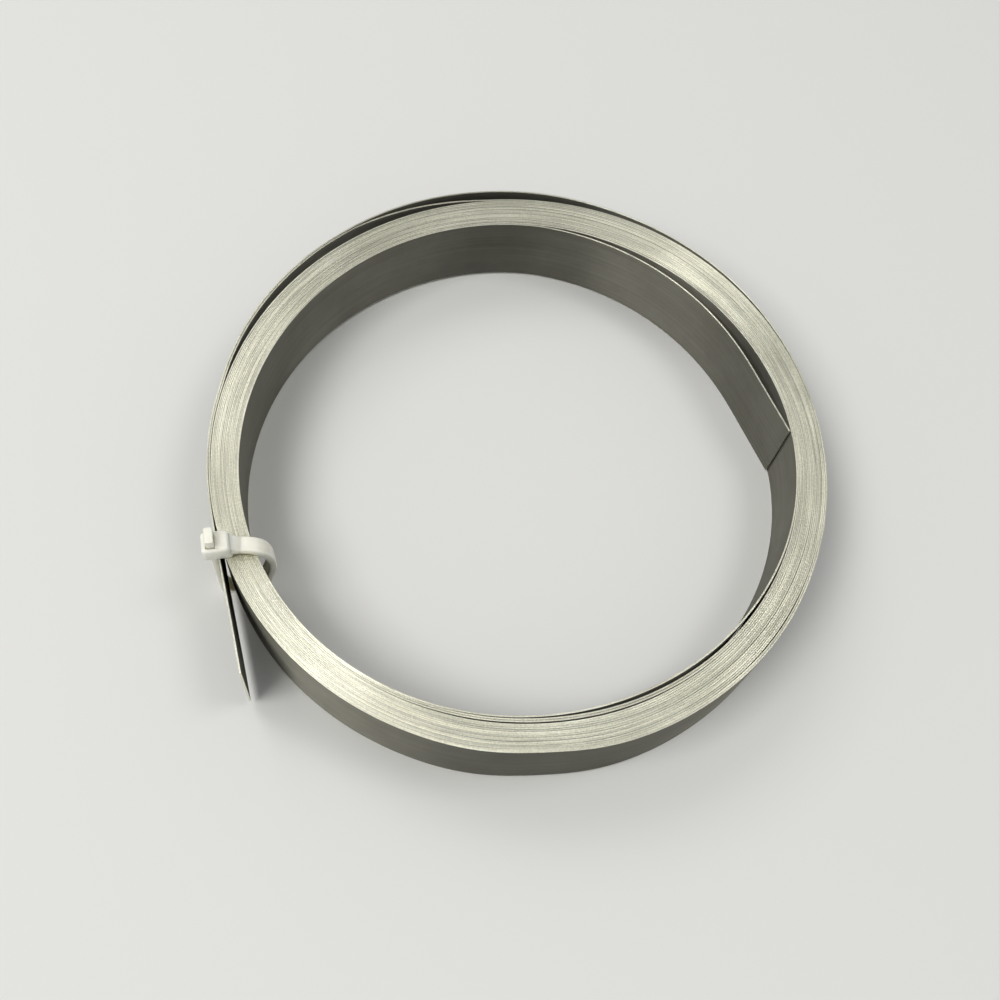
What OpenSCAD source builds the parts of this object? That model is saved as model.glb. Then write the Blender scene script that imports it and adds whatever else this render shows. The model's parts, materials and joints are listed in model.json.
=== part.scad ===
// Roll of nichrome ribbon wire, held by one nylon cable tie.
//
// The ribbon stands on its edges, wound flat on flat, so both ends of the roll are its edges.
// Everything is in millimetres. +Z is up, the floor is z = 0 and the roll's axis passes the origin.
// The tie goes under the roll, so the roll leans on the tie's strap on one side and on its own
// rim on the other.

/* [Ribbon] */
// Width of the ribbon, which is the height of the roll
ribbon_width = 10; // [4:0.5:20]
// Thickness of the ribbon
ribbon_thickness = 0.2; // [0.15:0.01:0.3]

/* [Roll] */
// Inside diameter of the wound turns
bore_diameter = 65.6; // [50:0.2:90]
// Number of turns that lie against each other
turns = 18; // [10:1:26]
// Air left between one turn and the next
turn_slack = 0.0255; // [0.01:0.0005:0.035]
// Depth of the line between two turns on the ends of the roll
groove_depth = 0.25; // [0.15:0.05:0.4]
// Width of that line where it opens
groove_mouth = 0.09; // [0.06:0.01:0.12]

/* [Loose outer turn] */
// How far the outermost turn has slipped off the roll's centre
slip = 1.94; // [1.2:0.02:3]
// Direction in which it has slipped
slip_direction = 85; // [60:1:110]
// How much smaller the slipped turn is than the roll under it
slip_tuck = 0.43; // [0.3:0.01:0.6]
// Direction in which the second turn leaves the roll, straight on, to join the slipped one
second_leaves = 102; // [94:1:108]

/* [Outer end] */
// Direction in which the straight outer end leaves the roll
outer_end_leaves = 192; // [188:1:194]
// How far inside the roll's outline its outer face starts, where the tie squeezes the turns
outer_end_inset = 0.26; // [0.05:0.01:0.4]
// Length of the straight outer end
outer_end_length = 20.6; // [12:0.2:30]

/* [Inner end] */
// Direction in which the inner end springs off the wall of the bore
inner_end_leaves = 84; // [70:1:95]
// Radius of the bend by which it leaves the wall
inner_bend_radius = 23; // [20:0.5:26]
// Angle of that bend
inner_bend_angle = 11.8; // [10:0.1:12.4]
// Angle of the long bend after it
inner_sweep_angle = 48.7; // [40:0.5:52]
// Radius of the nearly straight tip
inner_tip_radius = 90; // [70:1:150]
// Gap left between the tip and the wall of the bore
inner_tip_gap = 0.15; // [0.05:0.05:0.5]

/* [Cable tie] */
// Distance of the tie from the roll's middle plane
tie_offset = 13.4; // [8:0.2:18]
// Width of the strap
strap_width = 1.8; // [1.4:0.1:2.4]
// Thickness of the strap
strap_thickness = 1; // [0.8:0.05:1.2]
// Play between the strap and the ribbon
strap_play = 0.02; // [0.01:0.01:0.05]
// Inside radius of the bend over the ribbon's edges, into the bore
top_bend = 1.4; // [0.8:0.1:2]
// Inside radius of the two bends on the floor
low_bend = 0.25; // [0.2:0.05:0.8]
// Length of the strap's cut end above the head
stub_length = 1.4; // [0.5:0.1:4]

/* [Head of the tie] */
// Width of the head, across the strap
head_width = 3; // [2.8:0.1:4]
// Height of the head
head_height = 2.3; // [2.2:0.1:3]
// Wall of the head outside the window
head_outer_wall = 0.45; // [0.4:0.05:0.8]
// Wall of the head on the strap's side of the window, with the pawl
head_inner_wall = 1.6; // [1.2:0.1:2]
// Play of the strap in the window
window_play = 0.08; // [0.05:0.01:0.12]
// Length over which the neck narrows to the strap
neck_length = 1; // [0.6:0.1:1.6]
// How much thicker the neck is than the strap, on each side
neck_swell = 0.12; // [0.05:0.01:0.2]
// Bevel on the head's corners
head_bevel = 0.35; // [0.2:0.05:0.5]

/* [Hidden] */
$fn = 180;
turn_pitch = ribbon_thickness + turn_slack;
bore_r = bore_diameter / 2;
roll_r = bore_r + turns * turn_pitch;

// the slipped turn is a circle of its own, off the roll's centre
slip_r = roll_r - slip_tuck;
slip_centre = slip * [cos(slip_direction), sin(slip_direction)];

// half of a turn's thickness: how deep the loose lengths are rooted in the outermost turn
root = ribbon_thickness / 2;
// how much further in they start, so that they cross the outline of what carries them cleanly
tuck_in = ribbon_thickness / 5;

// the second turn runs straight on from the roll until it lies inside the slipped turn
second_r = slip_r - 1.5 * ribbon_thickness + tuck_in;
second_start = (roll_r - root - tuck_in) * [cos(second_leaves), sin(second_leaves)];
second_along = [-sin(second_leaves), cos(second_leaves)];
second_offset = second_start - slip_centre;
second_back = second_offset * second_along;
second_length = sqrt(second_back * second_back + second_r * second_r
    - second_offset * second_offset) - second_back;
second_joint = second_offset + second_length * second_along;
second_joins = atan2(second_joint[1], second_joint[0]);

// inner end: three bends that run into each other
bend_centre = (bore_r + root + tuck_in - inner_bend_radius)
    * [cos(inner_end_leaves), sin(inner_end_leaves)];
sweep_from = inner_end_leaves - inner_bend_angle;
sweep_r = bore_r + 0.6;
sweep_centre = bend_centre
    + (inner_bend_radius - sweep_r) * [cos(sweep_from), sin(sweep_from)];
tip_from = sweep_from - inner_sweep_angle;
tip_centre = sweep_centre
    + (sweep_r - inner_tip_radius) * [cos(tip_from), sin(tip_from)];
// the tip ends where it has come back to the wall, less its gap
tip_limit = bore_r - inner_tip_gap - ribbon_thickness;
tip_reach = norm(tip_centre);
tip_bearing = atan2(tip_centre[1], tip_centre[0]);
tip_to = tip_bearing + acos((tip_limit * tip_limit - tip_reach * tip_reach
    - inner_tip_radius * inner_tip_radius) / (2 * tip_reach * inner_tip_radius));

// the strap runs along X at this distance from the roll's middle
tie_y = -tie_offset;
strap_far = tie_y + strap_width / 2;
strap_near = tie_y - strap_width / 2;
roll_mid_r = (bore_r + roll_r) / 2;
tie_bearing = 180 + asin(tie_offset / roll_mid_r);

// the roll leans: it stands on the strap at one side and on its rim opposite
lean_direction = tie_bearing - 180;
rim_reach = max(roll_r, slip * cos(slip_direction - lean_direction) + slip_r);
strap_top = strap_thickness + strap_play;
bearing_span = rim_reach + bore_r - 0.2;
lean = asin(strap_top / bearing_span);
lean_shift = ribbon_width * sin(lean);

// height of the roll's upper end over the strap, at its higher outer side
roll_top = (rim_reach + roll_r) * sin(lean) + ribbon_width * cos(lean);

// top bend: the ribbon's upper edge at the bore touches it half way round
bore_face_x = -sqrt(bore_r * bore_r - strap_near * strap_near);
top_centre = [bore_face_x + lean_shift, roll_top]
    + (strap_play - top_bend) * [cos(45), sin(45)];
strap_over = top_centre[1] + top_bend;

// bend on the floor in the bore, just past the ribbon's lower edge
in_centre = [bore_face_x - low_bend / 5, strap_thickness + low_bend];
// lean of the strap between these two bends: their common tangent
bend_gap = top_centre - in_centre;
strap_slant = acos((low_bend - top_bend) / norm(bend_gap)) - atan2(bend_gap[1], bend_gap[0]);

// bend on the floor outside the roll, just past the straight outer end's face
outer_face_x = -(roll_r - outer_end_inset + strap_far * sin(outer_end_leaves - 180))
    / cos(outer_end_leaves - 180);
out_centre = [outer_face_x + low_bend / 5, strap_thickness + low_bend];
strap_out_x = out_centre[0] - low_bend;

// the head sits on the ribbon's edges, round the rising strap
head_base = roll_top + strap_play;
head_top = head_base + head_height;
window_out_x = strap_out_x - strap_thickness - window_play;
window_in_x = strap_out_x + window_play;
head_out_x = window_out_x - head_outer_wall;
head_in_x = window_in_x + head_inner_wall;

// Which node to build; all shows the whole part

// Points along an arc; a bend is cut in steps of about 7 degrees, a long sweep in steps of 2.
function arc_points(centre, r, from, to, step = 7) =
    let (n = ceil(abs(to - from) / step))
        [for (i = [0 : n]) let (a = from + (to - from) * i / n)
            centre + r * [cos(a), sin(a)]];

// The same points from last to first.
function backwards(points) = [for (i = [len(points) - 1 : -1 : 0]) points[i]];

// Wedge from the origin that holds a sector between two angles, both in degrees.
module wedge(from, to, r) {
    far = 1.05 * r / cos((to - from) / 6);
    polygon([[0, 0],
        for (i = [0 : 3]) let (a = from + (to - from) * i / 3) far * [cos(a), sin(a)]]);
}

// Flat plan of a bent strip: its middle line has radius r, and it goes from one angle to another.
module arc_strip(centre, r, thickness, from, to)
    translate(centre)
        intersection() {
            difference() {
                circle(r + thickness / 2);
                circle(r - thickness / 2);
            }
            wedge(from, to, r + thickness);
        }

// Plan of a straight strip from one point to another.
module bar_strip(p, q, thickness) {
    along = (q - p) / norm(q - p);
    side = thickness / 2 * [-along[1], along[0]];
    polygon([p + side, p - side, q - side, q + side]);
}

// The wound turns as one turned solid, with a line between every two turns on both ends.
module wound_turns()
    rotate_extrude()
        polygon(concat(
            [[bore_r, 0]],
            [for (i = [1 : turns - 1], k = [-1, 0, 1])
                [bore_r + i * turn_pitch + k * groove_mouth / 2, k == 0 ? groove_depth : 0]],
            [[roll_r, 0], [roll_r, ribbon_width]],
            [for (i = [turns - 1 : -1 : 1], k = [1, 0, -1])
                [bore_r + i * turn_pitch + k * groove_mouth / 2,
                    ribbon_width - (k == 0 ? groove_depth : 0)]],
            [[bore_r, ribbon_width]]));

// Plan of the outermost turn where it stands off the roll, with the second turn beside it.
module slipped_turn_plan() {
    difference() {
        union() {
            translate(slip_centre)
                difference() {
                    circle(slip_r);
                    circle(slip_r - ribbon_thickness);
                }
            arc_strip(slip_centre, second_r, ribbon_thickness, second_joins - 1, 178);
            bar_strip(second_start,
                second_start + (second_length + ribbon_thickness) * second_along,
                ribbon_thickness);
        }
        circle(roll_r - root);
    }
}

// Plan of the straight outer end, which leaves the outermost turn in a tangent.
module outer_end_plan()
    rotate(outer_end_leaves)
        difference() {
            translate([roll_r - outer_end_inset - ribbon_thickness, 0])
                square([ribbon_thickness, outer_end_length]);
            circle(roll_r - outer_end_inset - ribbon_thickness * 0.7);
        }

// One side of the inner end, off to the given side of its middle line.
function inner_end_side(off) = concat(
    arc_points(bend_centre, inner_bend_radius + off, inner_end_leaves, sweep_from, 2),
    arc_points(sweep_centre, sweep_r + off, sweep_from - 2, tip_from, 2),
    arc_points(tip_centre, inner_tip_radius + off, tip_from - 1, tip_to, 1));

// Plan of the inner end, sprung off the wall of the bore.
module inner_end_plan()
    polygon(concat(inner_end_side(root), backwards(inner_end_side(-root))));

// Lean the roll over the strap, about the far point of its rim.
module leaning()
    rotate([0, 0, lean_direction])
        translate([rim_reach, 0, 0])
            rotate([0, lean, 0])
                translate([-rim_reach, 0, 0])
                    rotate([0, 0, -lean_direction])
                        children();

// The whole ribbon, from its inner end to its outer end.
module ribbon_coil()
    color([0.72, 0.70, 0.65])
        leaning()
            union() {
                wound_turns();
                linear_extrude(ribbon_width) slipped_turn_plan();
                linear_extrude(ribbon_width) outer_end_plan();
                linear_extrude(ribbon_width) inner_end_plan();
            }

// One face of the strap, from the neck over the ribbon, through the bore and back outside.
function strap_face(off) = concat(
    [[head_in_x - 0.2, strap_over + off]],
    arc_points(top_centre, top_bend + off, 90, -strap_slant),
    arc_points(in_centre, low_bend + off, -strap_slant, -90),
    arc_points(out_centre, low_bend + off, -90, -180),
    [[strap_out_x - off, head_top + stub_length]]);

// Side view of the strap.
module strap_side_view()
    polygon(concat(strap_face(strap_thickness), backwards(strap_face(0))));

// Head of the tie: a block with bevelled corners, its window and the neck towards the strap.
module tie_head() {
    half = head_width / 2;
    b = head_bevel;
    difference() {
        intersection() {
            translate([0, 0, head_base])
                linear_extrude(head_height)
                    polygon([[head_out_x, b - half], [head_out_x + b, -half],
                        [head_in_x - b, -half], [head_in_x, b - half],
                        [head_in_x, half - b], [head_in_x - b, half],
                        [head_out_x + b, half], [head_out_x, half - b]]);
            rotate([90, 0, 0])
                linear_extrude(head_width * 2, center = true)
                    polygon([[head_out_x - 1, head_base - 1], [head_in_x + 1, head_base - 1],
                        [head_in_x + 1, head_top - b - 1], [head_in_x - b, head_top],
                        [head_out_x + b / 2, head_top], [head_out_x, head_top - b / 2],
                        [head_out_x - 1, head_top - b / 2]]);
        }
        translate([window_out_x, -strap_width / 2 - window_play, head_base - 1])
            cube([window_in_x - window_out_x, strap_width + 2 * window_play, head_height + 2]);
    }
    translate([head_in_x - 0.2, 0, strap_over - neck_swell])
        linear_extrude(strap_thickness + 2 * neck_swell)
            polygon([[0, 0.4 - half], [0.2, 0.4 - half],
                [0.2 + neck_length, -strap_width / 2], [0.2 + neck_length, strap_width / 2],
                [0.2, half - 0.4], [0, half - 0.4]]);
}

// The cable tie: strap, neck and head, moulded in one.
module cable_tie()
    color([0.93, 0.92, 0.85])
        translate([0, tie_y, 0]) {
            rotate([90, 0, 0])
                linear_extrude(strap_width, center = true)
                    strap_side_view();
            tie_head();
        }

ribbon_coil();
cable_tie();
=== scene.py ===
# %% [markdown]
# # A roll of nichrome ribbon wire
#
# Nichrome ribbon is flat resistance wire. It is sold by the metre in small rolls: the ribbon
# stands on its edge and is wound flat on flat, so the two ends of the roll are made of nothing
# but ribbon edges. A small nylon tie keeps the roll together. This notebook builds the looks of
# such a roll round the CAD model. The CAD model has the ribbon as one turned solid with lines
# on its ends, and here the same ribbon is drawn as what it really is: one strip, wound round
# and round, from its inner end to its outer end.
#
# The order is: frame and lean, camera, floor and light, the ribbon's path, its mesh and its two
# finishes, the cable tie, the nylon, and a last look at the sizes.

# %% [markdown]
# ## The frame
#
# The CAD model is loaded first and is never moved, for every piece takes its place from it. Its
# box is kept, to be set against the box of what shows in the end. Blender counts in metres, but
# a ribbon is easier to think of in millimetres, so most lengths are multiplied by MM in the end.

# %% Load the frame
import json
import math
from collections import namedtuple

import bpy
from mathutils import Matrix, Vector, noise


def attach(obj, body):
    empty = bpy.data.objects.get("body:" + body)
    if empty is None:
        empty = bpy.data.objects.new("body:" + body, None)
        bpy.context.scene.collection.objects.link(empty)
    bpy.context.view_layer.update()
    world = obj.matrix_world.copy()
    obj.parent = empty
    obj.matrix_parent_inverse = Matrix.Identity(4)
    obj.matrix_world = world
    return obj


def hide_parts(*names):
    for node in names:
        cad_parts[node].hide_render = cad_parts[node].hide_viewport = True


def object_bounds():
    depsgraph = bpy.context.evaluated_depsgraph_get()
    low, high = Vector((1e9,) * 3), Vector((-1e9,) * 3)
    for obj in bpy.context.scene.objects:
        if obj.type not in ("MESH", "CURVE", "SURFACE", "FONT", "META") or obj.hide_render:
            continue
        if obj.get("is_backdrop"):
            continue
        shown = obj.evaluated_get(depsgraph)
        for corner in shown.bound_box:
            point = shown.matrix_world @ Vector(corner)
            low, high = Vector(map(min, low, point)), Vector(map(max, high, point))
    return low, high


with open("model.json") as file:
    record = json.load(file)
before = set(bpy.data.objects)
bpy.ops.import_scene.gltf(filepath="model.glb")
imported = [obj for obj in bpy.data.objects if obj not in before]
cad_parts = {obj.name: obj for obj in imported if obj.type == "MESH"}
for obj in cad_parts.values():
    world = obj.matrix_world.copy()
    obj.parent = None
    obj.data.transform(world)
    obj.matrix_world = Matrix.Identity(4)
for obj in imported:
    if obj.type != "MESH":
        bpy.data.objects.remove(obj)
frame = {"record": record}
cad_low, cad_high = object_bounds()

MM = 0.001
print("CAD box in mm:", [round(c / MM, 2) for c in (*cad_low, *cad_high)])

# %% [markdown]
# ## How the roll stands
#
# The tie goes under the roll, so the roll can't lie flat: it stands on the tie's strap at one
# side and on its own rim at the other. That is a lean of less than one degree, but it decides
# where everything is, so it comes first. The bore's axis in the part's record gives the lean.
# It would be possible to wind the ribbon straight in the leaning position, but it is far easier
# to wind it upright round the Z axis and to lean the finished points with one matrix.

# %% Lean of the roll
bore = next(m for m in frame["record"]["mounts"] if m["name"] == "bore")
roll_axis = Vector(bore["axis"]).normalized()
ribbon_width = bore["dims"]["length_mm"]
rim_reach = 37.33  # where the rim touches the floor, from the bore's axis
off_centre = Vector((0, 0.05, 0)) * MM  # a wound roll's middle isn't exactly its bore's axis

up = Vector((0, 0, 1))
lean_to = Vector((roll_axis.x, roll_axis.y, 0)).normalized()
pivot = lean_to * rim_reach * MM
leaning = (Matrix.Translation(pivot)
           @ Matrix.Rotation(up.angle(roll_axis), 4, up.cross(roll_axis).normalized())
           @ Matrix.Translation(off_centre - pivot))
print("the roll leans by", round(math.degrees(up.angle(roll_axis)), 2), "degrees")

# %% [markdown]
# ## Camera
#
# The roll lies on a table and is seen from above, from a hand's height, a little from the
# front. A constraint could aim the camera, but a heading, a tilt and a roll can be read and
# changed one by one. Its place is given in the upright roll's own millimetres and leaned with
# the roll. A longer lens from further away would flatten the ring to an ellipse, and the
# ribbon's walls would hardly show, so the real distance is kept.

# %% Camera
def look(heading, tilt, roll):
    """Axes of a camera that looks down: heading on the floor, tilt from straight down, roll."""
    h, t = math.radians(heading), math.radians(tilt)
    forward = Vector((math.sin(t) * math.cos(h), math.sin(t) * math.sin(h), -math.cos(t)))
    above = Vector((math.cos(t) * math.cos(h), math.cos(t) * math.sin(h), math.sin(t)))
    turn = Matrix.Rotation(-math.radians(roll), 3, forward)
    return turn @ forward.cross(above), turn @ above, forward


camera_data = bpy.data.cameras.new("camera")
camera_data.sensor_width = 36
camera_data.lens = 41.4
camera_data.clip_start = 0.01
camera_data.clip_end = 10
camera = bpy.data.objects.new("camera", camera_data)
bpy.context.scene.collection.objects.link(camera)
bpy.context.scene.camera = camera

right, above, forward = look(heading=77.504, tilt=27.35, roll=11.0)
camera_place = Vector((-16.31, -66.78, 127.25))
seat = Matrix((right, above, -forward)).transposed().to_4x4()
seat.translation = camera_place * MM
camera.matrix_world = leaning @ seat
print("camera at", [round(c, 4) for c in camera.matrix_world.translation])

# %% [markdown]
# ## Floor
#
# The floor takes the shadow, and the ribbon's walls mirror it. A square plane would show its
# corners in low views, so the floor is a disc, and its finish lets the far part end in pale air.

# %% Floor
def new_mesh_object(name, verts, faces):
    mesh = bpy.data.meshes.new(name)
    mesh.from_pydata([tuple(v) for v in verts], [], faces)
    mesh.update()
    piece = bpy.data.objects.new(name, mesh)
    bpy.context.scene.collection.objects.link(piece)
    return piece


def polar(radius, bearing):
    """A point on the ground at a distance from the middle, at a bearing in degrees."""
    a = math.radians(bearing)
    return Vector((radius * math.cos(a), radius * math.sin(a), 0))


floor_radius, floor_sides = 0.6, 96
floor = new_mesh_object("floor",
                        [polar(floor_radius, 360 * i / floor_sides) for i in range(floor_sides)],
                        [tuple(range(floor_sides))])
floor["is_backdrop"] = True
print("the floor is", 2 * floor_radius, "m across")

# %% [markdown]
# ## Three soft lamps
#
# Metal shows mostly what stands round it, so the light is kept simple. The rounded edges of the
# ribbon catch a lamp only where they run across its light, and that gives a roll of ribbon its
# bright arcs. The lamp high on the left makes the main pair of arcs, opposite each other, and
# two weaker ones keep the rest of the ring from going dull. They are square area lamps, because
# point lamps would burn hard sparks into the metal.

# %% Lamps
lamp_distance = 0.8
lamp_colour = (1.0, 0.99, 0.97)


def soft_lamp(name, direction, size, power):
    """A square soft lamp in a direction from the roll, facing it."""
    data = bpy.data.lights.new(name, "AREA")
    data.size, data.energy, data.color = size, power, lamp_colour
    lamp = bpy.data.objects.new(name, data)
    bpy.context.scene.collection.objects.link(lamp)
    away = Vector(direction).normalized()
    lamp.location = away * lamp_distance
    lamp.rotation_euler = away.to_track_quat("Z", "Y").to_euler()


soft_lamp("left_lamp", (-0.505, -0.268, 0.82), size=0.36, power=3.1)
soft_lamp("window", (-0.45, 0.50, 0.74), size=0.36, power=1.25)
soft_lamp("right_lamp", (0.45, 0.02, 0.89), size=0.26, power=1.15)
print("lamps:", {lamp.name: round(lamp.energy, 2) for lamp in bpy.data.lights})

# %% [markdown]
# ## Helpers for nodes
#
# The air, the floor and every finish are made of shader nodes. Writing out each node and each
# link hides what a finish does, so a few helpers say it in one line each: `node` adds a node,
# `calculate` is one sum, `fade` is a soft step and `spread` stretches a value that runs from 0
# to 1. An input takes either a number or another node's output, and `give` knows what to do
# with both.

# %% Node helpers
def give(tree, made, **inputs):
    """Sets inputs, by name with _ for a space or by _ and number: a link, or a plain value."""
    for key, value in inputs.items():
        socket = made.inputs[int(key[1:]) if key[0] == "_" else key.replace("_", " ")]
        if isinstance(value, bpy.types.NodeSocket):
            tree.links.new(value, socket)
        else:
            socket.default_value = value


def node(tree, kind, **given):
    """Adds a node with its own settings, such as operation, and its inputs; gives its outputs."""
    made = tree.nodes.new("ShaderNode" + kind)
    settings = [key for key in given if hasattr(made, key)]
    for key in settings:
        setattr(made, key, given[key])
    give(tree, made, **{key: value for key, value in given.items() if key not in settings})
    return made.outputs


def calculate(tree, operation, first, second=0):
    return node(tree, "Math", operation=operation, _0=first, _1=second)[0]


def fade(tree, value, start, end):
    """0 where the value is at start, 1 where it is at end, and a soft step between them."""
    return node(tree, "MapRange", interpolation_type="SMOOTHSTEP", Value=value,
                From_Min=start, From_Max=end)["Result"]


def spread(tree, value, low, high):
    """Stretches a value that runs from 0 to 1 so that it runs from low to high."""
    return node(tree, "MapRange", Value=value, To_Min=low, To_Max=high)["Result"]


print("node helpers:", [f.__name__ for f in (give, node, calculate, fade, spread)])

# %% [markdown]
# ## Pale air
#
# An even sky lights the roll from all sides. Seen from low down, the floor would end in a hard
# line against a darker sky, so near the horizon the sky turns to pale air, and the far part of
# the floor turns to the same air. Only rays that look at it see that air: the camera's, and
# those that gloss and clear matter send on. It gives no light, so the roll isn't made brighter.

# %% Sky
air_colour = (0.98, 0.99, 1.0, 1)
given_light, shown_light = 0.36, 0.66  # of the sky, and of the pale air near the horizon
clear_height, air_height = 0.45, 0.2  # height of a direction where the air begins and is full


def shown(tree, place):
    """The place's share of pale air, for rays that see it and don't take light from it."""
    ray = node(tree, "LightPath")
    seen = calculate(tree, "MAXIMUM", ray["Is Camera Ray"], ray["Is Glossy Ray"])
    seen = calculate(tree, "MAXIMUM", seen, ray["Is Transmission Ray"])
    return calculate(tree, "MULTIPLY", place, seen)


world = bpy.data.worlds.new("world")
bpy.context.scene.world = world
world.use_nodes = True
tree = world.node_tree
height = node(tree, "SeparateXYZ", Vector=node(tree, "TexCoord")["Generated"])["Z"]
low_air = fade(tree, height, clear_height, air_height)
give(tree, tree.nodes["Background"], Color=air_colour,
     Strength=spread(tree, shown(tree, low_air), given_light, shown_light))
print("the sky gives", given_light, "and the low air shows", shown_light)

# %% Floor finish
def new_material(name, **constants):
    """A material with its Principled shader; the constants are set on the shader itself."""
    material = bpy.data.materials.new(name)
    material.use_nodes = True
    shader = material.node_tree.nodes["Principled BSDF"]
    give(material.node_tree, shader, **constants)
    return material, material.node_tree, shader


floor_finish, tree, shader = new_material("pale_floor", Base_Color=(0.72, 0.72, 0.70, 1),
                                          Roughness=0.75)
air_begins, air_only = 0.2, 0.55  # metres from the roll
distance = node(tree, "VectorMath", operation="LENGTH", _0=node(tree, "TexCoord")["Object"])
far = fade(tree, distance["Value"], air_begins, air_only)
air = node(tree, "Emission", Color=air_colour, Strength=shown_light)[0]
blend = node(tree, "MixShader", _0=shown(tree, far), _1=shader.outputs[0], _2=air)[0]
give(tree, tree.nodes["Material Output"], Surface=blend)
floor.data.materials.append(floor_finish)

bpy.context.scene.view_settings.view_transform = "Standard"
print("the floor turns to air from", air_begins, "to", air_only, "m")

# %% [markdown]
# ## The ribbon's path
#
# The strip is one long line wound round the bore, so its path is a spiral: the distance from
# the axis as a function of how far it has gone round. A perfect spiral looks like a machined
# disc. A real roll is a little oval, it is squeezed tight under the tie, and it opens where
# nothing holds it. So two things change with the bearing round the roll: where the innermost
# turn lies, and how much room each turn takes. Each is a mean and a few waves, the way a round
# thing out of true is usually described, and a hump where it does something of its own.

# %% Shape of the band of turns
def hump(bearing, middle, width, flatness=2):
    """1 at the middle bearing, falling to nothing on both sides."""
    return math.exp(-abs((bearing % 360 - middle) / width) ** flatness)


def round_the_roll(mean, waves=(), humps=()):
    """A value that changes with the bearing. A wave is (times round, how much, bearing of its
    peak), and a hump is (how much, bearing, width)."""
    def at(bearing):
        return (mean + sum(amount * math.cos(math.radians(times * (bearing - peak)))
                           for times, amount, peak in waves)
                + sum(amount * hump(bearing, middle, width) for amount, middle, width in humps))
    return at


wall_radius = round_the_roll(
    32.742, waves=((1, 0.287, 204.6), (2, 0.432, 44.8), (3, 0.198, 107.3), (4, 0.031, 85.0)),
    humps=((0.06, 305, 25),))
room_per_turn = round_the_roll(
    0.217, waves=((1, 0.025, 46.1), (2, 0.017, 86.8), (3, 0.012, 48.3), (4, 0.004, 46.6)),
    humps=((-0.008, 308, 22), (0.007, 345, 14)))
turns = 18
first_bearing = 84.0  # the inner end springs off the wall here
last_bearing = 192.0  # the straight outer end starts here
tie_bearing = 201.0
print("room per turn at the tie and opposite it:", round(room_per_turn(tie_bearing), 3),
      round(room_per_turn(tie_bearing - 180), 3), "mm")

# %% [markdown]
# ### Openings between turns
#
# Some neighbouring turns have parted for a stretch and closed again. Thin wedges of shadow
# could be painted on the roll's end, but they would be flat from every other side. Here each
# opening is a smooth hump in the room between two turns, and it pushes all the turns outside
# it outwards, as it does in a real roll.

# %% Openings between turns
openings = (  # begins at turn, bearing; how far; widest; shift of peak
    (1, 243, 107, 0.36, 1.15), (3, 208, 108, 0.15, 1.4), (16, 297, 42, 0.09, 1.0),
    (12, 240, 52, 0.045, 1.0), (6, 238, 54, 0.03, 1.0), (10, 286, 74, 0.045, 1.0),
    (15, 344, 34, 0.035, 1.0), (11, 160, 32, 0.03, 1.0), (7, 350, 30, 0.03, 1.0),
    (17, 150, 48, 0.07, 1.0), (18, 178, 30, 0.06, 1.0))


def opened(run):
    """How far a point of the ribbon is pushed outwards by the openings inside it."""
    total = 0
    for turn, start, reach, widest, shift in openings:
        travelled = run - (turn * 360 + start)
        if travelled > 0 and travelled % 360 < reach:
            total += widest * math.sin(math.pi * (travelled % 360 / reach) ** shift) ** 2
    return total


print(len(openings), "openings, the widest", max(o[3] for o in openings), "mm")

# %% [markdown]
# ### Air and thickness
#
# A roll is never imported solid. Where there is more room, some of it is air, and the rest is
# taken up by the small waves of the strip, which close the slits to the eye. To show that
# without thousands of tiny waves, the ribbon is drawn a little thicker where it has more room.
# At its loose ends, where it can be seen from all sides, it has its real thickness.

# %% Air and thickness
loose_thickness = 0.19
tight_room, least_air = 0.18, 0.006  # a turn's room and air where the roll is tightest
share_of_air = 0.2  # of the room beyond that
inner_end_run = 140  # from here on the inner end lies in the roll
inner_change, outer_change = 50, 25  # degrees in which the thickness changes at the ends


def air_per_turn(bearing):
    return least_air + share_of_air * (room_per_turn(bearing) - tight_room)


def smooth_step(x):
    x = max(0, min(1, x))
    return x * x * (3 - 2 * x)


def thickness_at(run):
    """Thickness as drawn, after so many degrees; it changes softly towards the loose ends."""
    wound = room_per_turn(run) - air_per_turn(run)
    loose = (smooth_step((inner_end_run - run) / inner_change)
             + smooth_step((run - 360 * turns) / outer_change))
    return wound + (loose_thickness - wound) * loose


print("a wound turn is drawn", round(min(map(thickness_at, range(360, 720))), 3), "to",
      round(max(map(thickness_at, range(360, 720))), 3), "mm thick")

# %% [markdown]
# ### Wound turns
#
# The air is shared unevenly between the turns, so that they lie in bunches. The shares could be
# drawn from a random generator, but smooth noise changes slowly along the strip, as the pull of
# a hand does, and it needs no seed: each run winds the same roll. At one bearing the outer
# turns are also pressed a little flat.

# %% Wound turns
flat_depth, flat_bearing, flat_width = 0.31, 270.5, 9
noise_gain = 1.8  # brings the noise to about -1 to 1


def drift(run, reach, row):
    """Smooth noise along the ribbon that changes within reach degrees."""
    return noise_gain * noise.noise(Vector((run / reach, *row)))


def bunching(run):
    """How unevenly the air is shared at this place along the ribbon; its mean is 1."""
    return max(0, 1 + drift(run, 75, (3.7, 1.3)))


def wound_radius(run):
    """Middle of the ribbon where it lies in the roll; run is in degrees from bearing 0."""
    bearing, turns_inside = run % 360, int(run // 360)
    layers = (run - first_bearing) / 360
    radius = wall_radius(bearing) + (layers + 0.5) * room_per_turn(bearing)
    shares = [bunching(bearing + 360 * k) - 1 for k in range(turns_inside)]
    radius += air_per_turn(bearing) * sum(shares)
    pressed = flat_depth * layers / turns * hump(bearing, flat_bearing, flat_width)
    return radius + opened(run) - pressed


outermost = 90 + 17 * 360
print("inner and outer radius at bearing 90:", round(wound_radius(90) - thickness_at(90) / 2, 2),
      round(wound_radius(outermost) + thickness_at(outermost) / 2, 2), "mm")

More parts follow.
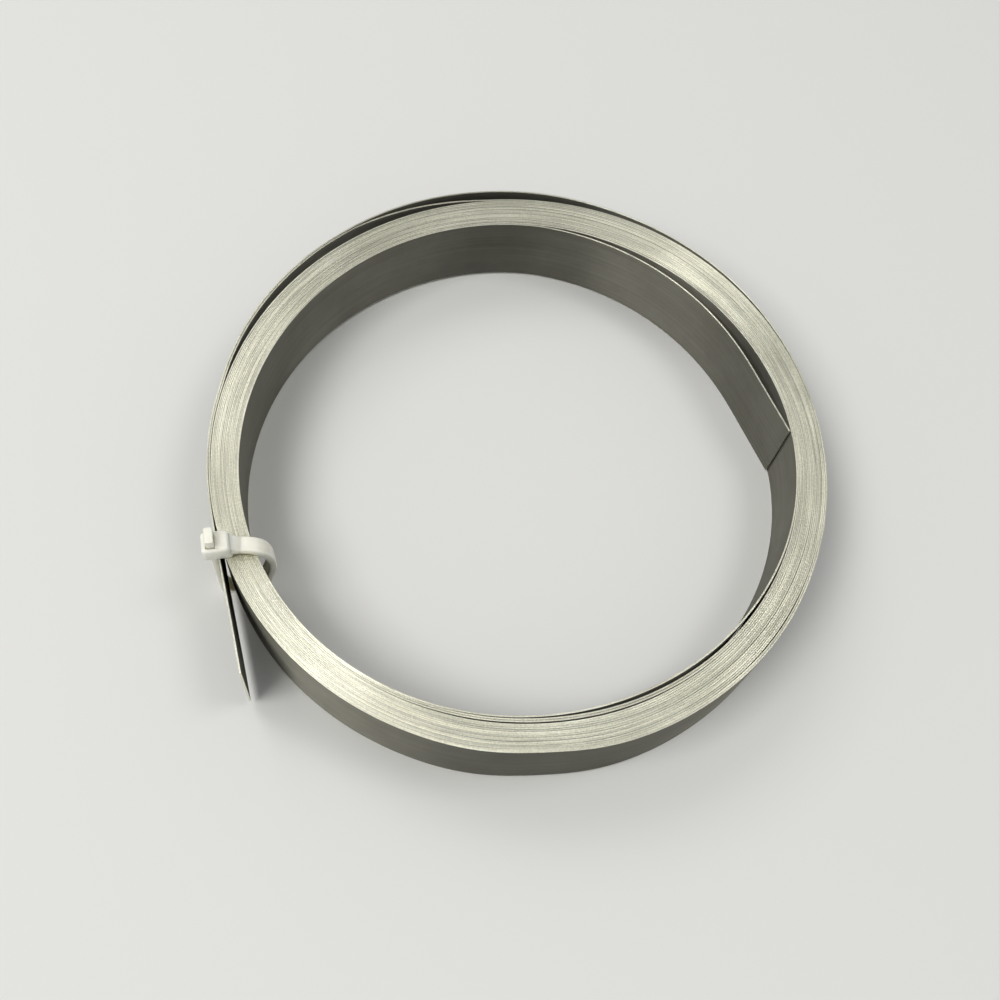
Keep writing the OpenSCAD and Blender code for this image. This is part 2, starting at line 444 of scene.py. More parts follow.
# %% [markdown]
# ### Loose lengths
#
# The outermost turn has slipped sideways off the roll, and the turn under it follows it for a
# stretch. The inner end has sprung off the wall: it bends away, runs nearly straight, and its
# cut tip comes back to the wall. Each could be a curve of its own, joined by hand. Instead each
# is a radius of its own, and the path is the larger or smaller of the two radii with a soft
# change between them, which gives a bend that a springy strip could have.

# %% Slipped turn, second turn and inner end
slipped_radius = round_the_roll(36.16, waves=((1, 2.05, 85),), humps=((-0.15, 22, 16),))
second_from = 60  # the second turn leaves the roll after this bearing
second_bearing, second_start, second_rise = 100, 37.05, 0.025  # the rise is per degree
least_gap = 0.01
bend_bearing, bend_radius = 20, 31.27  # where the sprung inner end is nearest to the axis
bend_reach, bend_rise = 10, 0.03
softness, second_softness = 0.04, 0.05


def soft_max(a, b, blend):
    return 0.5 * (a + b + math.hypot(a - b, blend))


def soft_min(a, b, blend):
    return 0.5 * (a + b - math.hypot(a - b, blend))


def second_radius(bearing):
    """The turn under the slipped one: it rises slowly, and stays inside the slipped turn."""
    rising = second_start + second_rise * (bearing - second_bearing)
    under = slipped_radius(bearing) - 0.5 * (thickness_at(bearing) + loose_thickness) - least_gap
    return soft_min(under, rising, second_softness)


def inner_end_radius(bearing):
    from_bend = bearing - bend_bearing
    if from_bend < 0:  # straight, and back to the wall
        return bend_radius / math.cos(math.radians(from_bend))
    return bend_radius + bend_rise * (math.hypot(from_bend, bend_reach) - bend_reach)


def path_radius(run):
    bearing = run % 360
    radius = wound_radius(run)
    if run < inner_end_run:
        return soft_min(radius, inner_end_radius(run), softness)
    if run > 360 * turns:
        return soft_max(radius, slipped_radius(bearing), softness)
    if run > 360 * (turns - 1) and second_from < bearing < last_bearing:
        return soft_max(radius, second_radius(bearing), softness)
    return radius


print("the slipped turn stands off by", round(path_radius(90 + 360 * turns)
                                              - path_radius(90 + 360 * (turns - 1)), 2), "mm")

# %% [markdown]
# ## The ribbon's section
#
# The mesh is a sweep: the ribbon's cross-section, repeated at each point of the path. A curve
# with a bevel would do that too, but it gives no say over the height of each turn or over the
# ends, and the wide faces need exact shading. Ribbon is rolled from round wire, so its edges
# swell out by a few hundredths of a millimetre. They are modelled as flat half ellipses,
# because they are what catches the light.

# %% Cross-section
crown = 0.022  # how far the edge swells out between its two corners
top_steps, foot_steps = 6, 4
wobble = 0.07  # how much the turns' heights differ


def cross_section(thickness, height):
    """Points (out, up) and their normals, once round, starting at the foot of the outer face."""
    points = []
    for steps, base, sign in ((top_steps, height - crown, 1), (foot_steps, crown, -1)):
        for i in range(steps + 1):
            a = math.pi * i / steps
            out, rise = sign * math.cos(a), sign * math.sin(a)
            normal = Vector((out / (thickness / 2), rise / crown)).normalized()
            points.append(((out * thickness / 2, base + rise * crown), tuple(normal)))
    return points


section = cross_section(loose_thickness, ribbon_width - wobble)
perimeter = [0]
for (a, _), (b, _) in zip(section, section[1:] + section[:1]):
    perimeter.append(perimeter[-1] + math.dist(a, b))
print(len(section), "points round the section,", round(perimeter[-1], 2), "mm round it")

# %% [markdown]
# ## Height and wear of each turn
#
# Pushed down by hand, the turns never end up quite level, and where the outer two have slipped
# they have also risen. The rounded edges are worn to one side here and the other side there,
# from being drawn over guides and laid on tables. That wear is far too small to model, but it
# decides which way an edge throws the light, so it goes into the normals: `tilt_at` leans them
# outwards or inwards. Turns of a bunch were worn together, so the noise changes slowly from
# turn to turn.

# %% Height and wear
slipped_rise, second_turn_rise = 0.25, 0.12
wear, wear_round, wear_between = 0.16, 2.2, 0.55  # how much, and its change round and between
wear_lean = round_the_roll(0, humps=((-0.14, 48, 14), (0.44, 116, 36)))
slipped_lean = 0.3


def height_at(run):
    bearing = run % 360
    height = wobble * (0.5 + 0.5 * max(-1, min(1, drift(run, 110, (9.1, 4.4)))))
    if run > 360 * turns:  # the slipped turn
        height += slipped_rise * hump(bearing, 98, 24, flatness=4)
    elif run > 360 * (turns - 1):  # the turn under it
        height += second_turn_rise * hump(bearing, 110, 12)
    return height


def tilt_at(run):
    """How far the rounded edge is worn to one side, as a slope."""
    slope = wear * noise.noise(polar(wear_round, run) + up * (wear_between * run / 360))
    slope += wear_lean(run)
    if run > 360 * turns:  # where it has slipped, the turn leans outwards
        slope += slipped_lean * hump(run, 95, 30)
    return slope


print("the slipped turn has risen to", round(height_at(98 + 360 * turns), 2), "mm")

# %% [markdown]
# ## Rings of the sweep
#
# The path is now walked in equal steps, and at each step a ring keeps what the sweep needs:
# where it is, how many turns it has gone, how high and how thick the ribbon is, and its wear.
# Equal steps in bearing put the rings of neighbouring turns side by side, so that their
# facets can't cut into each other. The straight outer end leaves the roll in the direction
# that the roll gives it and bends softly towards its tip.

# %% Rings along the path
Ring = namedtuple("Ring", "place turned lift thickness tilt")
segments_per_turn = 240
tip_run = 3.0  # the inner end's cut tip
tail_tip = Vector((-31.42, -27.75, 0))
tail_steps = 26
outer_radius = 36  # turns millimetres of the tail into parts of a turn

rings = []
first_step = math.ceil(tip_run / 360 * segments_per_turn)
last_step = round((turns * 360 + last_bearing) / 360 * segments_per_turn)
for step in range(first_step, last_step + 1):
    run = step * 360 / segments_per_turn
    rings.append(Ring(polar(path_radius(run), run), run / 360, height_at(run),
                      thickness_at(run), tilt_at(run)))

tail_start = rings[-1].place
way_in = (tail_start - rings[-2].place).normalized()
reach = (tail_tip - tail_start).length
for i in range(1, tail_steps + 1):
    share = i / tail_steps
    straight = tail_start.lerp(tail_tip, share)
    onward = tail_start + way_in * reach * share
    rings.append(rings[-1]._replace(
        place=straight.lerp(onward, (1 - share) ** 3), thickness=loose_thickness,
        turned=rings[-1].turned + reach / tail_steps / (2 * math.pi * outer_radius)))
length = sum((b.place - a.place).length for a, b in zip(rings, rings[1:]))
print(len(rings), "rings,", round(length / 1000, 2), "m of ribbon")

# %% [markdown]
# ## The ribbon's mesh
#
# The sweep joins the rings with quads and closes both cut ends. Smooth shading alone would
# round the corners between faces and edges, so each point brings its own normal along, from
# the section's ellipse and the wear.
#
# The mesh gets two UV maps. `run` is for the finishes: along it goes by turns, and across it by
# metres round the section, so lines that follow the ribbon are simply lines in one direction.
# `OFBake` is for an export that bakes the finishes into images: it lays the strip out in rows,
# one turn a row, without overlap.

# %% Sweep the section along the path
def walls(count, ring_count, closed=False):
    """Quads between rings of count points; the rings follow each other in a list."""
    quads = []
    for r in range(ring_count if closed else ring_count - 1):
        here, ahead = r * count, (r + 1) % ring_count * count
        quads += [(here + i, ahead + i, ahead + (i + 1) % count, here + (i + 1) % count)
                  for i in range(count)]
    return quads


def capped(count, ring_count):
    """The same with a face on each end, the first end's face first."""
    total = count * ring_count
    return [tuple(range(count)), *walls(count, ring_count),
            tuple(range(total - 1, total - count - 1, -1))]


def sweep_section():
    verts, normals = [], []
    for i, ring in enumerate(rings):
        before, after = rings[max(i - 1, 0)], rings[min(i + 1, len(rings) - 1)]
        ahead = (after.place - before.place).normalized()
        outward = Vector((ahead.y, -ahead.x, 0))
        for (out, height), (normal_out, normal_up) in cross_section(ring.thickness,
                                                                    ribbon_width - wobble):
            place = ring.place + outward * out + up * (height + ring.lift)
            verts.append(leaning @ (place * MM))
            worn = normal_out + (ring.tilt if normal_up > 0.1 else 0)
            normals.append(leaning.to_3x3() @ (outward * worn + up * normal_up).normalized())
    return verts, normals


corners_round = len(section)
verts, normals = sweep_section()
faces = capped(corners_round, len(rings))
ribbon = new_mesh_object("ribbon", verts, faces)
print(len(verts), "points and", len(faces), "faces in the ribbon")

# %% Lay out the maps and set the normals
row_gap, row_fill = 0.02, 0.95  # of a row's height in the bake map
end_wide, end_high = 0.0005, 0.00001  # of the bake map, for each mm of a cut end
end_top, last_end = 0.9999, 0.5  # where the cut ends lie in it
bake_rows = math.ceil(len(rings) / segments_per_turn) + 0.5  # half a row for the cut ends


def wall_corners(face):
    """Map places of a wall quad: ring and side of each corner, in the order of its points."""
    ring, side = divmod(face - 1, corners_round)
    row, column = divmod(ring, segments_per_turn)
    for ahead, beside in ((0, 0), (1, 0), (1, 1), (0, 1)):
        across = perimeter[side + beside]
        yield ((rings[ring + ahead].turned, across * MM),
               ((column + ahead) / segments_per_turn,
                (row + row_gap + row_fill * across / perimeter[-1]) / bake_rows))


def end_corners(corners, last):
    """The same for a cut end."""
    for v in corners:
        out, height = section[v % corners_round][0]
        yield ((rings[-1 if last else 0].turned, height * MM),
               (end_wide * (out + 1) + (last_end if last else 0), end_top - end_high * height))


mesh = ribbon.data
run_uv, bake_uv, corner_normals = [], [], []
for face, corners in enumerate(faces):
    is_end = len(corners) > 4
    for run_place, bake_place in end_corners(corners, face > 0) if is_end else wall_corners(face):
        run_uv += run_place
        bake_uv += bake_place
    corner_normals += [mesh.polygons[face].normal if is_end else normals[v] for v in corners]
mesh.uv_layers.new(name="run").uv.foreach_set("vector", run_uv)
mesh.uv_layers.new(name="OFBake").uv.foreach_set("vector", bake_uv)

wide_sides = {side for side in range(corners_round)
              if perimeter[side + 1] - perimeter[side] > ribbon_width / 2}
mesh.polygons.foreach_set("material_index", [
    0 if len(corners) == 4 and (face - 1) % corners_round in wide_sides else 1
    for face, corners in enumerate(faces)])
mesh.polygons.foreach_set("use_smooth", [len(corners) == 4 for corners in faces])
mesh.normals_split_custom_set(corner_normals)
print(sum(len(p.vertices) - 2 for p in mesh.polygons), "triangles in the ribbon")

# %% [markdown]
# ## Effects that more than one finish uses
#
# Three effects come back in several materials, so each is a shader node group, built once:
#
# - fine lines: long faint scratches that run along the ribbon, as rolling leaves them;
# - patches: soft uneven areas, for handling marks, faint oxide and thicker or thinner plastic;
# - speckle: small grains, for the nicks of slitting and for the skin of moulded nylon.
#
# A group gives out only values. Each material decides what they do to its colour, its
# roughness or its bump.

# %% [markdown]
# ### Fine lines
#
# Rolls and slitting knives leave lines that run on for centimetres and lie a tenth of a
# millimetre apart. Noise becomes lines when its space is squeezed across the ribbon and
# stretched along it. That takes a place that counts along and across the ribbon, and the map
# `run` is one. A slower copy of the same noise gives the broad streaks.

# %% Fine lines
def new_group(name, inputs, outputs):
    """A node group. Its first input is Place, and the others are numbers with a usual value."""
    group = bpy.data.node_groups.new(name, "ShaderNodeTree")
    group.interface.new_socket(name="Place", in_out="INPUT", socket_type="NodeSocketVector")
    for socket, value in inputs.items():
        made = group.interface.new_socket(name=socket, in_out="INPUT",
                                          socket_type="NodeSocketFloat")
        made.default_value = value
    for socket in outputs:
        group.interface.new_socket(name=socket, in_out="OUTPUT", socket_type="NodeSocketFloat")
    return group, group.nodes.new("NodeGroupInput").outputs, group.nodes.new("NodeGroupOutput")


fine_lines, given, result = new_group(
    "fine_lines", {"Lines per metre": 9000.0, "Line length": 0.05}, ["Lines", "Broad lines"])
broader = (0.35, 0.2, 1.0)
parts = node(fine_lines, "SeparateXYZ", Vector=given["Place"])
slow = calculate(fine_lines, "DIVIDE", parts["X"], given["Line length"])
fast = calculate(fine_lines, "MULTIPLY", parts["Y"], given["Lines per metre"])
stretched = node(fine_lines, "CombineXYZ", X=slow, Y=fast)[0]
grain = node(fine_lines, "TexNoise", Vector=stretched, Scale=1.0, Detail=3.0, Roughness=0.6)
broad_place = node(fine_lines, "VectorMath", operation="MULTIPLY", _0=stretched, _1=broader)[0]
broad = node(fine_lines, "TexNoise", Vector=broad_place, Scale=1.0, Detail=2.0)
give(fine_lines, result, Lines=grain["Fac"], Broad_lines=broad["Fac"])
print("fine_lines:", [s.name for s in fine_lines.interface.items_tree])

# %% [markdown]
# ### Patches and speckle
#
# Both are noise at a size in metres, so that a material says how large its patches or grains
# are and not how dense they are. Patches are cut off softly above and below the middle, which
# makes areas with a border. Speckle is left as it is, with more fine detail. Voronoi cells
# would give crisper grains, but nicks and moulded skin have no outlines.

# %% Patches and speckle
patches, given, result = new_group("patches", {"Size": 0.01, "Softness": 0.3}, ["Patches"])
place = node(patches, "VectorMath", operation="DIVIDE", _0=given["Place"], _1=given["Size"])[0]
cloud = node(patches, "TexNoise", Vector=place, Scale=1.0, Detail=3.0)["Fac"]
give(patches, result, Patches=fade(patches, cloud,
                                   calculate(patches, "SUBTRACT", 0.5, given["Softness"]),
                                   calculate(patches, "ADD", 0.5, given["Softness"])))

speckle, given, result = new_group("speckle", {"Grain size": 0.0003}, ["Grains"])
place = node(speckle, "VectorMath", operation="DIVIDE", _0=given["Place"],
             _1=given["Grain size"])[0]
grains = node(speckle, "TexNoise", Vector=place, Scale=1.0, Detail=2.0, Roughness=0.65)["Fac"]
give(speckle, result, Grains=grains)
print("groups:", [g.name for g in bpy.data.node_groups])

# %% [markdown]
# ## Wide faces of the ribbon
#
# The wide faces come out of polished rolls: smooth, and finely lined along the ribbon. They are
# the same metal as the edges, but their base colour is kept far darker and a little more olive:
# that is painted shade, which stands in for the dark surroundings that these upright faces
# mirror. So many lines in one direction stretch every reflection across themselves, which is
# what the shader's anisotropy does. The few lines that can be seen one by one are added as
# colour, roughness and a very flat bump. Faces and edges could share one material with a mask,
# but two materials are easier to read and to change.

# %% Wide faces
brushed_turn = 0.25  # a quarter turn: the lines follow the ribbon


def two_tone(tree, mask, dark, light):
    """A colour that goes from dark to light as the mask goes from 0 to 1."""
    return node(tree, "Mix", data_type="RGBA", _0=mask, _6=(*dark, 1), _7=(*light, 1))[2]


def dimmed(tree, colour, amount):
    return node(tree, "VectorMath", operation="SCALE", _0=colour, Scale=amount)[0]


rolled, tree, shader = new_material("nichrome_rolled_painted_shade", Metallic=1.0, Anisotropic=0.9,
                                    Anisotropic_Rotation=brushed_turn)
along = node(tree, "UVMap", uv_map="run")["UV"]
where = node(tree, "TexCoord")["Object"]
lines = node(tree, "Group", node_tree=fine_lines, Place=along, Lines_per_metre=9000.0,
             Line_length=0.055)
cloudy = node(tree, "Group", node_tree=patches, Place=where, Size=0.012, Softness=0.35)
marks = node(tree, "Group", node_tree=speckle, Place=where, Grain_size=0.0016)

# The level of this base colour is painted shade: the same metal as the edges, darkened and made
# more olive for the dark surroundings that the upright faces mirror. The patches within it are
# uneven tone of the metal itself.
tint = two_tone(tree, cloudy["Patches"], (0.150, 0.146, 0.120), (0.200, 0.196, 0.166))
lined = calculate(tree, "MULTIPLY", spread(tree, lines["Broad lines"], 0.78, 1.22),
                  spread(tree, marks["Grains"], 0.86, 1.14))
rough = calculate(tree, "ADD", spread(tree, lines["Lines"], 0.49, 0.69),
                  spread(tree, marks["Grains"], 0.0, 0.10))
bump = node(tree, "Bump", Strength=0.12, Distance=0.00002, Height=lines["Lines"])[0]
give(tree, shader, Base_Color=dimmed(tree, tint, lined), Roughness=rough, Normal=bump)
ribbon.data.materials.append(rolled)
print(rolled.name, "has", len(tree.nodes), "nodes")

# %% [markdown]
# ## Edges of the ribbon
#
# The edges are what shows on the roll's ends. They are brighter than the faces, partly because
# the faces' colour is darkened as painted shade, and duller at the same time, for they are
# rounded, nicked by the slitting knife, and each turn lies a little differently. Whole bunches
# of turns are a shade darker or lighter. To get them, patches are laid out round a cylinder: a
# place's bearing goes round it and its turn goes up it, so a patch covers a stretch of a few
# neighbouring turns. With both finishes on, the strip stands for the CAD model's turned solid,
# and it rides on the one body there is.

# %% Edges
turn_height = 0.9  # of one turn on the cylinder, whose radius is 1

edge_metal, tree, shader = new_material("nichrome_edge", Metallic=1.0, Anisotropic=0.8,
                                        Anisotropic_Rotation=brushed_turn)
along = node(tree, "UVMap", uv_map="run")["UV"]
where = node(tree, "TexCoord")["Object"]
lines = node(tree, "Group", node_tree=fine_lines, Place=along, Lines_per_metre=12000.0,
             Line_length=0.02)
nicks = node(tree, "Group", node_tree=speckle, Place=where, Grain_size=0.00022)["Grains"]
cloudy = node(tree, "Group", node_tree=patches, Place=where, Size=0.009, Softness=0.25)
run = node(tree, "SeparateXYZ", Vector=along)["X"]
bearing = calculate(tree, "MULTIPLY", run, math.tau)
on_cylinder = node(tree, "CombineXYZ", X=calculate(tree, "COSINE", bearing),
                   Y=calculate(tree, "SINE", bearing),
                   Z=calculate(tree, "MULTIPLY", run, turn_height))[0]
bunches = node(tree, "Group", node_tree=patches, Place=on_cylinder, Size=0.45, Softness=0.22)

tint = two_tone(tree, cloudy["Patches"], (0.80, 0.787, 0.640), (0.94, 0.927, 0.770))
streaks = calculate(tree, "MULTIPLY", spread(tree, bunches["Patches"], 0.76, 1.12),
                    spread(tree, lines["Broad lines"], 0.84, 1.16))
worn = calculate(tree, "MULTIPLY", streaks, spread(tree, nicks, 0.68, 1.32))
rough = calculate(tree, "ADD", spread(tree, nicks, 0.32, 0.46),
                  spread(tree, lines["Lines"], 0.0, 0.06))
bump = node(tree, "Bump", Strength=0.8, Distance=0.00006,
            Height=calculate(tree, "ADD", nicks, lines["Lines"]))[0]
give(tree, shader, Base_Color=dimmed(tree, tint, worn), Roughness=rough, Normal=bump)
ribbon.data.materials.append(edge_metal)
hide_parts("ribbon_coil")
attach(ribbon, "root")
print(edge_metal.name, "has", len(tree.nodes), "nodes")

# %% [markdown]
# ## The cable tie
#
# The tie is one small nylon moulding: a strap with fine teeth on its inner side, a neck, and a
# head with a window and a pawl. Its strap goes over the roll, bends down into the bore, turns
# a little to follow the wall, passes under the roll, rises outside it and comes up through the
# head, where it was cut off. The strap is a sweep along a smooth curve. It isn't a Blender
# curve object, because the teeth need rings of their own, so the curve is cut into steps of a
# quarter of a tooth.

# %% Path of the strap
strap_width, strap_thickness = 1.8, 0.92
tie_y = -13.38
strap_points = (  # along X, height, turn of the strap's width in degrees
    (-33.30, 11.86, 3), (-32.60, 11.95, 1), (-31.80, 11.98, 0), (-30.95, 11.93, 1),
    (-30.10, 11.60, 4), (-29.45, 10.90, 9), (-29.08, 9.85, 13), (-28.95, 8.60, 15),
    (-29.02, 7.30, 16), (-29.28, 6.00, 16), (-29.66, 4.70, 16), (-29.95, 3.40, 15),
    (-30.12, 2.10, 12), (-30.22, 1.25, 8), (-30.55, 0.68, 4), (-31.20, 0.48, 0),
    (-32.30, 0.47, 0), (-33.40, 0.47, 0), (-34.30, 0.50, 0), (-34.85, 0.80, 2),
    (-35.02, 1.50, 5), (-35.06, 2.60, 8), (-35.08, 4.20, 9), (-35.06, 6.20, 9),
    (-35.02, 8.40, 8), (-35.02, 10.60, 8), (-35.02, 12.70, 8), (-35.02, 14.70, 8))
tooth_pitch = 0.48
rings_per_tooth = 4


def smooth_path(points, spacing, fine_steps=24):
    """A Catmull-Rom curve through the points, cut into equal steps."""
    dense = []
    for i in range(len(points) - 1):
        p0, p1, p2, p3 = (Vector(points[max(0, min(len(points) - 1, i + k))])
                          for k in (-1, 0, 1, 2))
        for s in range(fine_steps):
            t = s / fine_steps
            dense.append(0.5 * ((2 * p1) + (p2 - p0) * t + (2 * p0 - 5 * p1 + 4 * p2 - p3) * t ** 2
                                + (3 * p1 - p0 - 3 * p2 + p3) * t ** 3))
    dense.append(Vector(points[-1]))
    gone = [0]
    for a, b in zip(dense, dense[1:]):
        gone.append(gone[-1] + (b.xy - a.xy).length)
    count = round(gone[-1] / spacing)
    found, k = [], 0
    for i in range(count + 1):
        want = gone[-1] * i / count
        while k < len(gone) - 2 and gone[k + 1] < want:
            k += 1
        found.append(dense[k].lerp(dense[k + 1], (want - gone[k]) / (gone[k + 1] - gone[k])))
    return found, gone[-1]


strap_path, strap_length = smooth_path(strap_points, tooth_pitch / rings_per_tooth)
print("the strap is", round(strap_length, 1), "mm long, in", len(strap_path), "rings")

# %% [markdown]
# ### Strap
#
# The strap's section is a flat bar with rounded corners, and a shallow track is sunk into the
# side towards the ribbon. Along the track the depth rises and falls like a saw, and those are
# the teeth. A bump in the material could draw teeth, but not the track's step, which shows at
# the cut end. The strap was cut off a little askew.

# %% Strap
corner_round = 0.22  # of the strap's and the neck's corners
tooth_depth, shallowest = 0.14, 0.25  # the deepest point of a tooth, and the other's share
track_half_width, track_slope = 0.55, 0.06
plain_rings, plain_depth = 22, 0.02  # the strap has no teeth next to the head
cut_slant = 0.45


def strap_section(depth):
    """Once round: (across, out). The side towards the ribbon has the toothed track."""
    half, c, thick, track = strap_width / 2, corner_round, strap_thickness, track_half_width

    def corner(x, z, start):
        return [(x + c * math.cos(math.radians(start + a)),
                 z + c * math.sin(math.radians(start + a))) for a in (0, 30, 60, 90)]

    return (corner(half - c, thick - c, 0) + corner(c - half, thick - c, 90)
            + corner(c - half, c, 180)
            + [(-track, 0), (track_slope - track, depth), (track - track_slope, depth), (track, 0)]
            + corner(half - c, c, 270))


def sweep_strap(path):
    verts = []
    for i, p in enumerate(path):
        a, b = path[max(i - 1, 0)], path[min(i + 1, len(path) - 1)]
        along = Vector((b.x - a.x, 0, b.y - a.y)).normalized()
        inward = Vector((along.z, 0, -along.x))  # towards the bundle
        across = along.cross(inward)
        turn = Matrix.Rotation(math.radians(p.z), 3, "Z")
        across, inward = turn @ across, turn @ inward
        saw = (i % rings_per_tooth) / (rings_per_tooth - 1)
        depth = tooth_depth * (shallowest + (1 - shallowest) * saw)
        if i < plain_rings or i > len(path) - 3:
            depth = plain_depth
        middle = Vector((p.x, tie_y, p.y))
        for side, out in strap_section(depth):
            point = middle + across * side - inward * (out - strap_thickness / 2)
            if i == len(path) - 1:
                point.z += cut_slant * 0.5 * (point.y - tie_y - strap_width / 2) / strap_width
            verts.append(point * MM)
    return verts, capped(len(strap_section(0)), len(path))


strap = sweep_strap(strap_path)
print(len(strap[1]), "faces in the strap")

# %% [markdown]
# ### Head
#
# The head is a block with a window, and cutting the window with a boolean would leave ragged
# faces round it. It is built from rings of one kind instead: a rectangle with rounded corners.
# The outer rings give the block with its rounded edges, the inner rings give the window, and
# because all have the same number of points, the top and the bottom close with plain quads. The
# head sits a few degrees askew on the straight strap, so it is built round its own middle and
# then turned.

# %% Head
head_aside = 0.06
head_middle = Vector((-34.5, tie_y - head_aside, 0))
head_turn = Matrix.Rotation(math.radians(8), 3, "Z")
head_low, head_high = 11.17, 13.32
head_out, head_in_top, head_in_low = -1.48, 1.43, 1.72
head_half_width, head_corner = 1.27, 0.4
foot_round, top_round = 0.16, 0.34  # of the head's lower and upper edges
window_out, window_in = -1.01, -0.02
window_half_width, window_corner = 0.92, 0.2
funnel = ((0.07, 0), (0.02, 0.06), (0, 0.14))  # how much wider the window is, and how deep in
points_per_corner = 5


def in_head(x, y, z):
    return (head_middle + head_turn @ Vector((x, y, z))) * MM


def rounded_corners(x0, x1, y0, y1, radius):
    points = []
    for cx, cy, start in ((x1 - radius, y1 - radius, 0), (x0 + radius, y1 - radius, 90),
                          (x0 + radius, y0 + radius, 180), (x1 - radius, y0 + radius, 270)):
        for i in range(points_per_corner):
            a = math.radians(start + 90 * i / (points_per_corner - 1))
            points.append((cx + radius * math.cos(a), cy + radius * math.sin(a)))
    return points


def head_ring(x0, x1, half_width, radius, z):
    return [in_head(x, y, z) for x, y in rounded_corners(x0, x1, -half_width, half_width, radius)]


def head_shell():
    """Up the outside, over the top and down through the window."""
    edges = []  # how far in and how high each outer ring is
    for a in (math.radians(degrees) for degrees in (0, 30, 60, 90)):
        edges.append((foot_round * (1 - math.sin(a)), head_low + foot_round * (1 - math.cos(a))))
    for a in (math.radians(degrees) for degrees in (0, 22, 45, 68, 90)):
        edges.append((top_round * (1 - math.cos(a)), head_high - top_round * (1 - math.sin(a))))
    verts = []
    for back, z in edges:
        lean = (z - head_low) / (head_high - head_low)
        inner_x = head_in_low + (head_in_top - head_in_low) * lean
        verts += head_ring(head_out + back, inner_x - back, head_half_width - back, head_corner, z)
    window = ([(wider, head_high - depth) for wider, depth in funnel]
              + [(wider, head_low + depth) for wider, depth in reversed(funnel)])
    for wider, z in window:
        verts += head_ring(window_out - wider, window_in + wider, window_half_width + wider,
                           window_corner, z)
    count = 4 * points_per_corner
    return verts, walls(count, len(verts) // count, closed=True)


head = head_shell()
print("head", head_in_top - head_out, "x", 2 * head_half_width, "x",
      round(head_high - head_low, 2), "mm")

# %% [markdown]
# ### Neck and pawl
#
# Two small forms are lofted through a few rings. The neck carries the width of the head down to
# the strap in a short step, as the mould does, so that the tie doesn't break there. The pawl is
# the springy tongue in the window whose tip holds the strap's teeth; only its top shows.

# %% Neck and pawl
neck_rings = (  # x from the head's middle, half width, low, high, share of the head's turn
    (1.0, 1.02, 11.33, 12.92, 1), (1.42, 1.0, 11.35, 12.86, 1),
    (1.68, 0.97, 11.39, 12.66, 0.75), (1.95, 0.935, 11.44, 12.50, 0.5),
    (2.3, 0.915, 11.49, 12.445, 0.25), (2.7, 0.91, 11.51, 12.44, 0))
pawl_root, pawl_half_width = window_in + 0.05, 0.62
pawl_rings = ((0.06, 11.5, 0.1), (0.14, 12.3, 0.1), (0.12, 13.2, -0.06))  # reach, height, rise


def loft(shapes):
    """A closed shell through rings of the same number of points."""
    return [point for ring in shapes for point in ring], capped(len(shapes[0]), len(shapes))


def neck_ring(x, half_width, low, high, share):
    ring = []
    for side, z in rounded_corners(-half_width, half_width, low, high, corner_round):
        skewed = head_middle + head_turn @ Vector((x, side, z))
        straight = head_middle + Vector((x, side + head_aside, z))
        ring.append(straight.lerp(skewed, share) * MM)
    return ring


def pawl_ring(tip_reach, low, rise):
    tip = window_in - tip_reach
    return [in_head(pawl_root, pawl_half_width, low), in_head(tip, pawl_half_width, low + rise),
            in_head(tip, -pawl_half_width, low + rise), in_head(pawl_root, -pawl_half_width, low)]


neck = loft([neck_ring(*numbers) for numbers in neck_rings])
pawl = loft([pawl_ring(*numbers) for numbers in pawl_rings])
print("neck from", neck_rings[0][0], "to", neck_rings[-1][0], "mm")

# %% [markdown]
# ### One moulding
#
# The tie is one piece, so the four shells become one mesh. They pass through each other a
# little where the mould has them as one, which doesn't show, and joining them with booleans
# would only cost clean edges. A shell whose faces look outwards has a positive volume, so one
# that doesn't is turned. Curved parts are shaded smooth, and sharp edges stay crisp.

# %% Join the shells of the tie
sharpest_smooth = math.radians(38)


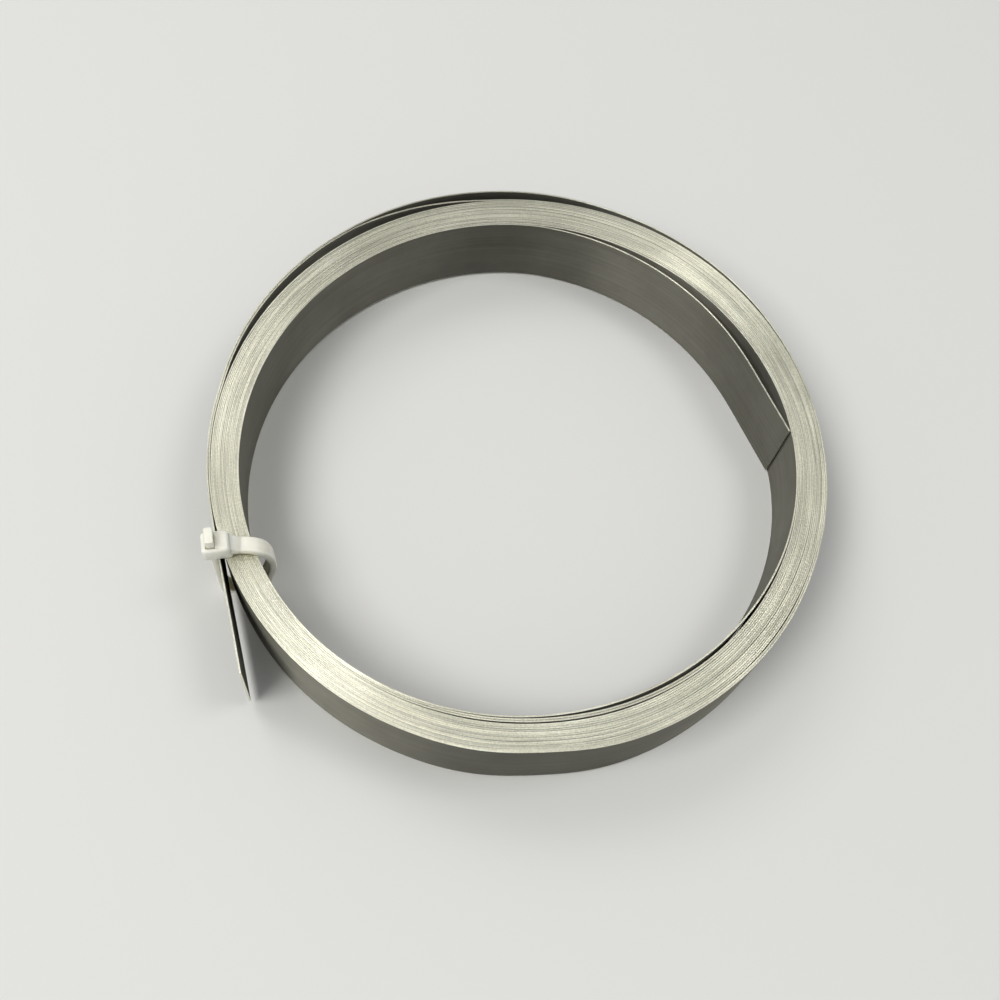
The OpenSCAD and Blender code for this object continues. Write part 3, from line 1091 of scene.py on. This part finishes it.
def volume(verts, faces):
    return sum(verts[f[0]].dot(verts[a].cross(verts[b])) / 6
               for f in faces for a, b in zip(f[1:], f[2:]))


tie_verts, tie_faces = [], []
for verts, faces in (strap, head, neck, pawl):
    start = len(tie_verts)
    tie_verts += verts
    inside_out = volume(verts, faces) < 0
    tie_faces += [tuple(start + v for v in ((f[0], *f[:0:-1]) if inside_out else f))
                  for f in faces]
tie = new_mesh_object("cable_tie_moulding", tie_verts, tie_faces)
tie.data.polygons.foreach_set("use_smooth", [True] * len(tie.data.polygons))
tie.data.set_sharp_from_angle(angle=sharpest_smooth)
print(len(tie_faces), "faces in the tie")

# %% [markdown]
# ## Natural nylon
#
# Undyed nylon is a warm white that lets a little light through, so thin parts look greyer and
# thick parts look creamier. Subsurface scattering does that. Plain transmission would make it
# look like clouded glass. The skin is satin, with a very fine grain from the mould.

# %% Nylon
nylon, tree, shader = new_material("natural_nylon", IOR=1.53, Subsurface_Weight=0.35,
                                   Subsurface_Scale=0.0012, Subsurface_Radius=(1.0, 0.9, 0.7))
where = node(tree, "TexCoord")["Object"]
cloudy = node(tree, "Group", node_tree=patches, Place=where, Size=0.0016, Softness=0.3)
skin = node(tree, "Group", node_tree=speckle, Place=where, Grain_size=0.00012)["Grains"]
tint = two_tone(tree, cloudy["Patches"], (0.88, 0.87, 0.735), (0.95, 0.945, 0.83))
bump = node(tree, "Bump", Strength=0.2, Distance=0.00002, Height=skin)[0]
give(tree, shader, Base_Color=tint, Roughness=spread(tree, skin, 0.26, 0.44), Normal=bump)

tie.data.materials.append(nylon)
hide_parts("cable_tie")
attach(tie, "root")
print(nylon.name, "has", len(tree.nodes), "nodes")

# %% [markdown]
# ## Sizes
#
# The looks must not change the size of the part, so the two boxes are written next to each
# other: the CAD model's, and that of what shows.

# %% Compare the boxes
low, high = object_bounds()
print("visual box in mm:", [round(c / MM, 2) for c in (*low, *high)])
past_box = max(*(a - b for a, b in zip(cad_low, low)), *(b - a for a, b in zip(cad_high, high)))
print("outside the CAD box by", round(past_box / MM, 3), "mm")
